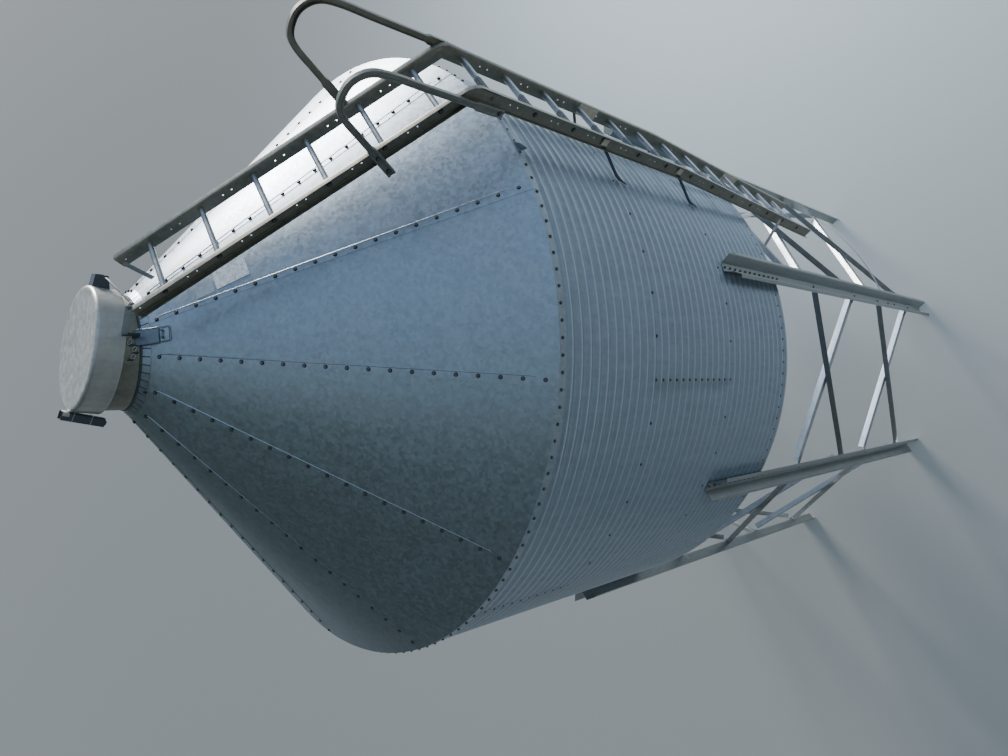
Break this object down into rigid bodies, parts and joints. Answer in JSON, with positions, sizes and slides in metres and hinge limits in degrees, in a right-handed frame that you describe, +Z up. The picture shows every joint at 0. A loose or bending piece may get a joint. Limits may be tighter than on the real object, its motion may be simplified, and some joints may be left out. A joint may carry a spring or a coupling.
{
  "type": "grain silo",
  "caption": "Round corrugated steel grain silo with a cone roof, a steep hopper on channel legs with crossed braces, a ladder up the side and roof, and a hinged fill lid.",
  "frame": {"origin": "on the ground, in the middle of the box round the footprint, which reaches from the ladder's outer face to the far side of the eave", "axes": "+Z up along the bin's axis, -Y towards the side that carries the ladder, +X to the right of someone who stands in front of the ladder and faces it"},
  "size_m": [3.686, 3.846, 7.4274],
  "materials": {
    "wall_steel": "galvanised corrugated sheet",
    "roof_steel": "galvanised sheet",
    "leg_steel": "galvanised, dull",
    "brace_steel": "galvanised, dull",
    "ladder_steel": "galvanised, weathered",
    "lid_steel": "galvanised, dull",
    "latch_steel": "dark weathered steel"
  },
  "bodies": {
    "silo": {"wall_ring1_sheet1": "wall_steel", "wall_ring1_sheet2": "wall_steel", "wall_ring1_sheet3": "wall_steel", "wall_ring1_sheet4": "wall_steel", "wall_ring2_sheet1": "wall_steel", "wall_ring2_sheet2": "wall_steel", "wall_ring2_sheet3": "wall_steel", "wall_ring2_sheet4": "wall_steel", "wall_ring3_sheet1": "wall_steel", "wall_ring3_sheet2": "wall_steel", "wall_ring3_sheet3": "wall_steel", "wall_ring3_sheet4": "wall_steel", "roof_sector_1": "roof_steel", "roof_sector_2": "roof_steel", "roof_sector_3": "roof_steel", "roof_sector_4": "roof_steel", "roof_sector_5": "roof_steel", "roof_sector_6": "roof_steel", "hopper_sector_1": "wall_steel", "hopper_sector_2": "wall_steel", "hopper_sector_3": "wall_steel", "hopper_sector_4": "wall_steel", "outlet_collar": "leg_steel", "fill_collar": "roof_steel", "leg_1": "leg_steel", "leg_2": "leg_steel", "leg_3": "leg_steel", "leg_4": "leg_steel", "leg_5": "leg_steel", "leg_6": "leg_steel", "leg_7": "leg_steel", "leg_8": "leg_steel", "brace_upper_1": "brace_steel", "brace_upper_2": "brace_steel", "brace_upper_3": "brace_steel", "brace_upper_4": "brace_steel", "brace_upper_5": "brace_steel", "brace_upper_6": "brace_steel", "brace_upper_7": "brace_steel", "brace_upper_8": "brace_steel", "brace_lower_1": "brace_steel", "brace_lower_2": "brace_steel", "brace_lower_3": "brace_steel", "brace_lower_4": "brace_steel", "brace_lower_5": "brace_steel", "brace_lower_6": "brace_steel", "brace_lower_7": "brace_steel", "brace_lower_8": "brace_steel", "roof_ladder": "ladder_steel", "side_ladder": "ladder_steel", "grab_hoop_left": "ladder_steel", "grab_hoop_right": "ladder_steel", "ladder_bay_bar": "brace_steel", "ladder_tie": "brace_steel"},
    "lid": {"lid": "lid_steel", "lid_latch_bar": "latch_steel"}
  },
  "joints": [
    {"name": "lid_hinge", "type": "hinge", "parent": "silo", "child": "lid", "pos_m": [0.17323, -0.10572, 7.165], "axis": [0.7314, 0.682, 0], "range_deg": [-6.5, 53.5]}
  ]
}
